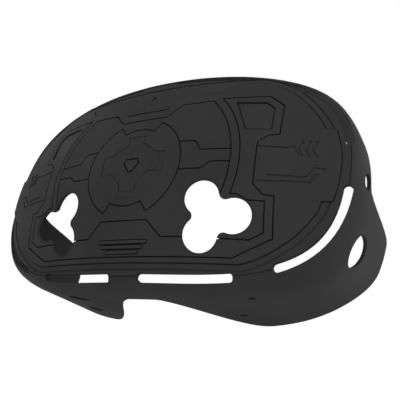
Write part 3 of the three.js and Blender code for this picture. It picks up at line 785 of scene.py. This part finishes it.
CROSS = [(0.165, 0.528), (0.135, 0.44), (0.315, 0.285), (0.44, 0.215), (0.56, 0.21), (0.55, -0.132),
         (0.385, -0.118), (0.165, -0.32), (0.15, -0.43), (0.165, -0.503)]
GEM = [(0.133, 0.148), (0.178, 0.047), (0.048, -0.133)]
WINDOW, WINDOW_SPREAD = (0.439 * HALF_WIDTH, -0.4954 * HALF_HEIGHT), 8.8 * MM
WINDOW_LOBE, WINDOW_WEB = 7.4 * MM, 2.5 * MM


def hub(shares):
    return both_sides([(x * DISC, z * DISC) for x, z in shares])


def disc_outline():
    outline = []
    for turn in (0, 180):
        outline += arc(DISC, turn - DISC_END, turn + DISC_END, step=3)
        outline += arc(DISC_NOTCH, turn + NOTCH_END, turn + 180 - NOTCH_END, step=4)
    return outline


def window_outline(growth):
    """Three round lobes, with a rounded tip of the web between each two."""
    radius, tip = WINDOW_LOBE + growth, WINDOW_WEB - growth
    tip_spread = (WINDOW_SPREAD + math.sqrt(4 * (radius + tip) ** 2 - 3 * WINDOW_SPREAD ** 2)) / 2
    (lobe_x, lobe_z), (tip_x, tip_z) = arc(WINDOW_SPREAD, 0, 0)[0], arc(tip_spread, 60, 60)[0]
    lean = math.degrees(math.atan2(tip_z - lobe_z, tip_x - lobe_x))
    outline = []
    for turn in (0, 120, 240):
        lobe = arc(WINDOW_SPREAD, turn, turn, *WINDOW)[0]
        web = arc(tip_spread, turn + 60, turn + 60, *WINDOW)[0]
        first = turn + lean + 180
        outline += arc(radius, turn - lean, turn + lean, *lobe, step=6)
        outline += arc(tip, first, first - 2 * lean + 120, *web, step=10)[1:-1]
    return outline


field = both_sides(LOWER_CURVE + SIDE_CURVE + UPPER_CURVE + FIELD_HEAD)
middle = both_sides(CHIN + CHIN_ENDS[:1] + [WINDOW] + arc(ARC_INNER, *INNER_SWEEP, step=2) + BROW)
bracket = both_sides(BRACKET_OUTER + arc(ARC_OUTER, *OUTER_SWEEP, step=2) + BRACKET_INNER
                     + CHIN_ENDS[1:] + CHIN[::-1])
FAR = 2 * HALF_WIDTH
above_bars = both_sides(BAR_TOP + [(FAR, BAR_TOP[-1][1]), (FAR, FAR)])
below_bars = both_sides([(FAR, -FAR), (FAR, BAR_BOTTOM[0][1])] + BAR_BOTTOM)
print("the raised field has", len(field), "points")

# %% [markdown]
# ## Solids over an outline
#
# Each panel is a flat solid over its outline first, because cuts are clean while everything is flat. A
# profile lists how far back and how far in each ring of the solid lies: panels get a rounded front edge,
# holes the same round the other way, and engraved lines a soft rim. A bevel after the cuts would be
# another way, but it trips over the many small corners where cuts meet.

# %% Profiles, and the solid that they make
DEEP = 12 * MM
EDGE = 0.25 * MM
PLATE_BACK = 1.2 * MM - PLATE_PROUD
QUARTER = [(1 - math.cos(a), 1 - math.sin(a)) for a in (0, math.pi / 6, math.pi / 3, math.pi / 2)]


def raised(front=-PLATE_PROUD, edge=EDGE):
    return [(front + back * edge, into * edge) for back, into in QUARTER] + [(PLATE_BACK, 0)]


def hole(front=-PLATE_PROUD, edge=EDGE):
    rings = [(front + back * edge, -into * edge) for back, into in QUARTER]
    return [(-DEEP, -edge)] + rings + [(DEEP, 0)]


def groove(front, depth, soft=0.12 * MM):
    return [(-DEEP, -soft), (front, -soft), (front + soft, 0), (front + depth, soft)]


PLACES = {
    "x": lambda u, v, depth: (depth, u, v),
    "y": lambda u, v, depth: (u, depth, v),
    "z": lambda u, v, depth: (u, v, depth),
}


def solid(outline, profile, axis="y"):
    """A closed solid over an outline, with one ring for each (depth, inset) of its profile."""
    points = [PLACES[axis](u, v, depth) for depth, step in profile for u, v in inset(outline, step)]
    count = len(outline)
    last = len(points) - count
    faces = [list(range(count)), list(range(last + count - 1, last - 1, -1))]
    for row in range(0, last, count):
        for i in range(count):
            j = (i + 1) % count
            faces.append((row + i, row + count + i, row + count + j, row + j))
    return linked("solid", points, faces if axis == "y" else [face[::-1] for face in faces])


def linked(name, points, faces):
    mesh = bpy.data.meshes.new(name)
    mesh.from_pydata(points, [], faces)
    made = bpy.data.objects.new(name, mesh)
    bpy.context.scene.collection.objects.link(made)
    return made


def carved(name, body, tools, operation="DIFFERENCE"):
    """A body with every tool cut from it; the tools are used up."""
    for tool in tools:
        modifier = body.modifiers.new("cut", "BOOLEAN")
        modifier.solver = "EXACT"
        modifier.operation = operation
        modifier.object = tool
    made = frozen(body, name, plastics["shell"])
    for tool in tools:
        bpy.data.objects.remove(tool)
    return made


print("a panel's profile has", len(raised()), "rings, a hole's", len(hole()))

# %% [markdown]
# ## Bending a flat solid over the face
#
# A fine square grid is scored into the flat solid, so that it can follow the curve, and a small tree then
# pushes every point back by the rule of the face. The same tree bends the panels, the tools that sink
# into the shell's front, and the slats of the louvre, so that all of them share one curve exactly. A
# lattice would bend them too, but it would only come near the curve.

# %% Score a grid, then bend
def bend_tree():
    tree, start, end, _ = new_tree("bend_over_the_face", {})
    place = tree.nodes.new("GeometryNodeInputPosition")
    x, y, z = split(tree, place.outputs[0])
    moved = move_to(tree, start.outputs["Geometry"], x, y + face_y(x, z), z)
    finish_tree(tree, moved, end)
    return tree


face_bend = bend_tree()
GRID, GRID_NUDGE, ON_THE_CUT = 4 * MM, 0.013 * MM, 0.002 * MM
SHARP_ANGLE = math.radians(40)


def scored(mesh):
    """Cut a mesh along a square grid over the face."""
    grid = bmesh.new()
    grid.from_mesh(mesh)
    for axis, normal in ((0, (1, 0, 0)), (2, (0, 0, 1))):
        low = min(v.co[axis] for v in grid.verts)
        high = max(v.co[axis] for v in grid.verts)
        for step in range(math.ceil(low / GRID), math.floor(high / GRID) + 1):
            place = [0, 0, 0]
            place[axis] = step * GRID + GRID_NUDGE
            whole = grid.verts[:] + grid.edges[:] + grid.faces[:]
            bmesh.ops.bisect_plane(grid, geom=whole, dist=ON_THE_CUT, plane_co=place, plane_no=normal)
    grid.to_mesh(mesh)
    grid.free()


def bent(flat, name, material):
    scored(flat.data)
    made = evaluated(name, flat.data, face_bend, {}, material)
    bpy.data.objects.remove(flat)
    return made


def placed(piece, *nodes):
    """Smooth shading, the final place, and the CAD nodes that a piece stands for."""
    piece.data.shade_smooth()
    piece.data.set_sharp_from_angle(angle=SHARP_ANGLE)
    weighted = piece.modifiers.new("normals", "WEIGHTED_NORMAL")
    weighted.keep_sharp = True
    name = piece.name
    made = frozen(piece, name, piece.data.materials[0])
    made.name = name
    made.data.transform(Matrix.Translation(FACE_ZERO))
    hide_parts(*nodes)
    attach(made, "root")
    print(name, "has", len(made.data.polygons), "faces")


print("the bend has", len(face_bend.nodes), "nodes")

# %% [markdown]
# ## Cutting the shell
#
# The shell gets a shallow pocket for the panels, two fine lines beside it, the two windows, four vents
# along the crease at each side, the strap and cable openings, and the button openings in the bottom. Most
# tools that cut through stay straight, as a moulding tool's cores would be. The pocket, the lines and the
# windows keep a set depth, so their tools are bent over the face. Each window has a thin lip behind the
# panels' edge, so that no light comes through the groove there.

# %% The tools that cut through
GAP, SEAT = 0.25 * MM, 0.3 * MM
VENT_WIDTH, VENT_DEPTH, VENT_STEPS = 3.5 * MM, 5 * MM, 16
VENTS = [(0.037, 0.197, 0.13), (0.276, 0.457, -0.06), (0.549, 0.713, -0.1), (0.806, 0.955, 0)]
BUTTONS = [(-0.435, 0.285, 0.13, 0.066, 0.16), (-0.477, 0.482, 0.095, 0.07, 0.3),
           (0.56, 0.274, 0.04, 0.026, -0.2), (0.43, 0.493, 0.04, 0.026, 0)]
STRAP_HOLE = (38.8 * MM, -31.8 * MM, 9 * MM, 6.6 * MM, 0.28)
CABLE_HOLE = (38 * MM, -2.4 * MM, 4.8 * MM, 3.6 * MM, 0.6)
SIDE_REACH = 60 * MM


def flipped(points):
    return [(-x, z) for x, z in points]


def both(points, profile):
    """Two tools, over an outline and over its mirror image."""
    return [solid(points, profile), solid(flipped(points), profile)]


def through_tools():
    tools = []
    for first, last, out in VENTS:
        path = [on_crease(first + (last - first) * i / VENT_STEPS, out * VENT_WIDTH)
                for i in range(VENT_STEPS + 1)]
        depth = max(face_y(x, z) for x, z in path) + VENT_DEPTH
        tools += both(band(path, VENT_WIDTH), [(-DEEP, 0), (depth, 0)])
    for outline in (oval(*STRAP_HOLE), oval(*CABLE_HOLE)):
        tools += [solid(outline, [(side * SIDE_REACH, 0), (side * FAR, 0)], "x") for side in (-1, 1)]
    for x, y, length, width, lean in BUTTONS:
        half_sizes = (length / 2 * HALF_WIDTH, width / 2 * HALF_WIDTH)
        outline = oval(x * HALF_WIDTH, y * HALF_WIDTH, *half_sizes, lean)
        tools.append(solid(outline, [(-FAR, 0), (-DROP, 0)], "z"))
    return tools


def outward(tools):
    for tool in tools:
        form = bmesh.new()
        form.from_mesh(tool.data)
        bmesh.ops.recalc_face_normals(form, faces=form.faces[:])
        form.to_mesh(tool.data)
        form.free()
    return tools


print("openings through the wall:", 2 * len(VENTS) + 4 + len(BUTTONS), "and two windows")

# %% The tools that sink into the front
LINE_DEPTH = 0.5 * MM
RIM_LINE, RIM_LINE_OUT = 0.85 * MM, 2.5 * MM
POCKET = [(-DEEP, -0.2 * MM), (0, -0.2 * MM), (0.2 * MM, 0), (0.9 * MM, 0)]
LIP = [(-DEEP, -0.3 * MM), (1.2 * MM, -0.3 * MM), (2 * MM, -1.3 * MM), (DEEP, -1.3 * MM)]
BOWL = [(-DEEP, 0), (0.2 * MM, 0), (0.7 * MM, 0.3 * MM), (1 * MM, 0.9 * MM)]
BOWL_HEIGHT, BOWL_RADIUS = 39.2 * MM, 1.3 * MM


def crease_tool(width=1.3 * MM, depth=0.5 * MM, steps=260):
    """A ring with a V profile that runs all round on the crease."""
    half = [on_crease(i / steps) for i in range(steps + 1)]
    ring = half + [(-x, z) for x, z in half[-2:0:-1]]
    points, faces = [], []
    for i, (x, z) in enumerate(ring):
        (ax, az), (bx, bz) = ring[i - 1], ring[(i + 1) % len(ring)]
        length = math.dist((ax, az), (bx, bz))
        nx, nz = (bz - az) / length, -(bx - ax) / length
        for side, back in ((-1, -depth), (0, depth), (1, -depth)):
            step = side * width / 2
            points.append((x + nx * step, face_y(x, z) + back, z + nz * step))
        for side in range(3):
            a, b = 3 * i + side, 3 * i + (side + 1) % 3
            c, d = (a + 3) % (3 * len(ring)), (b + 3) % (3 * len(ring))
            faces.append((a, c, d, b))
    return linked("crease_tool", points, faces)


def sunk_tools():
    lower, upper = LOWER_CURVE[:-2], UPPER_CURVE[2:]
    tools = [solid(field, POCKET)]
    for path in (mirrored(lower) + lower, both_sides(upper)):
        tools.append(solid(band(inset(path, -RIM_LINE_OUT), RIM_LINE), groove(0, LINE_DEPTH)))
    tools += both(window_outline(0), LIP)
    tools.append(solid(oval(0, BOWL_HEIGHT, BOWL_RADIUS, BOWL_RADIUS, 0), BOWL))
    return [bent(tool, "sunk_tool", plastics["shell"]) for tool in tools]


tools = outward(through_tools() + sunk_tools() + [crease_tool()])
print("tools:", len(tools))
shell = carved("shell_moulding", skin, tools)
placed(shell, "shell")

# %% [markdown]
# ## The panels
#
# Every panel is cut from a flat solid, with half a groove of gap all round. The windows cut three of the
# panels; each window also has a shallow rebate round it, which draws the double line seen in the photo.
# The chevrons and bent lines at the sides are engraved with the same tools that cut the grooves, because
# painted lines would not catch the light.

# %% Cutters that several panels share
REBATE_DEPTH, REBATE_REACH = 0.3 * MM, 0.9 * MM
GUIDE_LINE, TRACE_LINE, CHEVRON_LINE = 0.8 * MM, 0.9 * MM, 1.2 * MM
CHEVRONS, CHEVRON_STEP = 3, 0.029
BAR, BAR_LENGTH, BAR_HEIGHT = 1.3 * MM, 23 * MM, BROW[-1][1] + 5.5 * MM
SLATS, SLAT_STEP, SLAT_LENGTH, SLAT_HEIGHT = 3, 2.1 * MM, 24 * MM, CHIN[0][1] - 9.1 * MM


def gapped(points, distance=GAP):
    """A hole round an outline, wider by half a groove."""
    return solid(inset(points, -distance), hole())


def window_tools():
    return (both(window_outline(0), hole(-PLATE_PROUD + REBATE_DEPTH))
            + both(window_outline(REBATE_REACH), groove(-PLATE_PROUD, REBATE_DEPTH)))


CHEVRON = [(0.806, 0.178), (0.788, 0.106), (0.806, 0.037)]
GUIDE = [(0.62, 0.124), (0.745, 0.11), (0.757, 0.127), (0.77, 0.127), (0.794, 0.04)]
UPPER_TRACE = [(0.674, -0.148), (0.827, -0.158), (0.856, -0.073), (0.9, -0.08)]
LOWER_TRACE = [(0.628, -0.2), (0.74, -0.2), (0.846, -0.203), (0.862, -0.14), (0.876, -0.132)]


def side_lines():
    paths = [(GUIDE, GUIDE_LINE), (UPPER_TRACE, TRACE_LINE), (LOWER_TRACE, TRACE_LINE)]
    for i in range(CHEVRONS):
        paths.append(([(x + i * CHEVRON_STEP, z) for x, z in CHEVRON], CHEVRON_LINE))
    tools = []
    for path, width in paths:
        tools += both(band(place(path), width), groove(-PLATE_PROUD, LINE_DEPTH))
    return tools


def level_band(half, height, width):
    return band([(-half, height), (half, height)], width)


bar_outline = level_band((BAR_LENGTH - BAR) / 2, BAR_HEIGHT, BAR)
slat_outlines = [level_band(SLAT_LENGTH / 2 - i * SLAT_STEP, SLAT_HEIGHT - i * SLAT_STEP, BAR)
                 for i in range(SLATS)]
print("holes for a bar and", len(slat_outlines), "slats; engraved lines a side:", 3 + CHEVRONS)

# %% Outer frame, upper and lower fields, and the bars
frame_tools = [gapped(middle), gapped(bracket), gapped(bar_outline, distance=SEAT)]
frame_tools += window_tools() + side_lines()
outer = carved("outer_flat", solid(inset(field, SEAT), raised()), frame_tools)
placed(bent(outer, "outer_frame_panel", plastics["plate"]), "outer_frame")


def raised_through():
    """A panel's rounded front edge on a body that goes deeper than any panel."""
    return raised()[:-1] + [(DEEP, 0)]


def middle_panel(name, outline, node):
    kept = [solid(inset(outline, GAP), raised_through())]
    body = carved("kept", solid(inset(middle, GAP), raised()), kept, "INTERSECT")
    body = carved("flat", body, [gapped(disc_outline())] + window_tools())
    placed(bent(body, name, plastics["plate"]), node)


middle_panel("upper_field_panel", above_bars, "upper_field")
middle_panel("lower_field_panel", below_bars, "lower_field")
middle_panel("bar_right_panel", BAR_TOP + BAR_BOTTOM, "bar_right")
middle_panel("bar_left_panel", flipped(BAR_TOP + BAR_BOTTOM), "bar_left")

# %% [markdown]
# ## The hub
#
# A disc with a socket, a cross that sits in the socket, and a gem that sits in the cross. One plate with
# engraved lines would be simpler, but the lines round all three are closed, as joints are. The channel
# round the cross is shallower than the grooves between the panels, so the cross has a low flange.

# %% Disc, cross and gem
FLANGE, FLANGE_GAP = [(-0.3 * MM, 0), (PLATE_BACK, 0)], 0.15 * MM
GEM_GAP = 0.7 * MM
disc = carved("disc_flat", solid(inset(disc_outline(), GAP), raised()), [solid(hub(SOCKET), hole())])
placed(bent(disc, "centre_disc_panel", plastics["plate"]), "centre_disc")
flange = [solid(inset(hub(SOCKET), FLANGE_GAP), FLANGE)]
cross = carved("cross_flat", solid(hub(CROSS), raised()), flange, "UNION")
cross = carved("cross_holed", cross, [solid(hub(GEM), hole())])
placed(bent(cross, "hub_cross_panel", plastics["plate"]), "hub_cross")
gem = solid(inset(hub(GEM), GEM_GAP), raised())
placed(bent(gem, "hub_gem_panel", plastics["trim"]), "hub_gem")

# %% [markdown]
# ## The brackets, and what is let into the panels
#
# One panel holds both cheek brackets and the chin, because the photograph shows no line between them. The
# insets lie a little low in it, and the brow bar stands a little proud of the outer frame, so each gets a
# front level and an edge of its own.

# %% Lower bracket, insets and brow bar
LOW_INSET = raised(front=0.1 * MM, edge=0.15 * MM)
PROUD_BAR = raised(front=-1.0 * MM, edge=0.35 * MM)
bracket_tools = [gapped(INSET), gapped(flipped(INSET))]
bracket_tools += [gapped(outline, distance=SEAT) for outline in slat_outlines]
lower = carved("bracket_flat", solid(inset(bracket, GAP), raised()), bracket_tools + window_tools())
placed(bent(lower, "lower_bracket_panel", plastics["plate"]), "lower_bracket")
for side, outline in (("right", INSET), ("left", flipped(INSET))):
    flat = solid(inset(outline, GAP), LOW_INSET)
    placed(bent(flat, f"inset_{side}_panel", plastics["trim"]), f"inset_{side}")
flat = solid(bar_outline, PROUD_BAR)
placed(bent(flat, "brow_bar_panel", plastics["trim"]), "brow_bar")

# %% [markdown]
# ## The louvre
#
# Three slats under the nose, each shorter than the one above it. They repeat by a rule, so one tree makes
# them: it puts a short round stud on each point of a line, then pulls the two halves of every stud apart
# by the length that its place in the row allows. No point of a stud lies in its middle, so each belongs
# to one half. An array modifier could repeat a slat, but could not make it shorter.

# %% Slats by a rule
LOUVRE_SIZES = {
    "slats": SLATS, "pitch": SLAT_STEP, "first length": SLAT_LENGTH, "first height": SLAT_HEIGHT,
}


def louvre_tree():
    tree, start, end, size = new_tree("louvre_rule", LOUVRE_SIZES)
    line = tree.nodes.new("GeometryNodeMeshLine")
    line.inputs["Offset"].default_value = (0, 0, 0)
    tree.links.new(size["slats"].socket, line.inputs["Count"])
    studs = tree.nodes.new("GeometryNodeInstanceOnPoints")
    tree.links.new(line.outputs["Mesh"], studs.inputs["Points"])
    tree.links.new(start.outputs["Geometry"], studs.inputs["Instance"])
    row = tree.nodes.new("GeometryNodeStoreNamedAttribute")
    row.domain = "INSTANCE"
    row.inputs["Name"].default_value = "row"
    tree.links.new(tree.nodes.new("GeometryNodeInputIndex").outputs[0], row.inputs["Value"])
    tree.links.new(studs.outputs["Instances"], row.inputs["Geometry"])
    real = tree.nodes.new("GeometryNodeRealizeInstances")
    tree.links.new(row.outputs["Geometry"], real.inputs["Geometry"])
    named = tree.nodes.new("GeometryNodeInputNamedAttribute")
    named.inputs["Name"].default_value = "row"
    number = Field(tree, named.outputs["Attribute"])
    x, y, z = split(tree, tree.nodes.new("GeometryNodeInputPosition").outputs[0])
    apart = size["first length"] / 2 - size["pitch"] * number
    wide = x + x.math("SIGN") * apart
    height = z + size["first height"] - size["pitch"] * number
    finish_tree(tree, move_to(tree, real.outputs["Geometry"], wide, y, height), end)
    return tree


STUD_STEP = 15
stud = solid(arc(BAR / 2, STUD_STEP / 2, 360 - STUD_STEP / 2, step=STUD_STEP), PROUD_BAR)
slats = evaluated("slats_flat", stud.data, louvre_tree(), LOUVRE_SIZES, plastics["trim"])
bpy.data.objects.remove(stud)
placed(bent(slats, "chin_louvre", plastics["trim"]), "chin_slat_1", "chin_slat_2", "chin_slat_3")
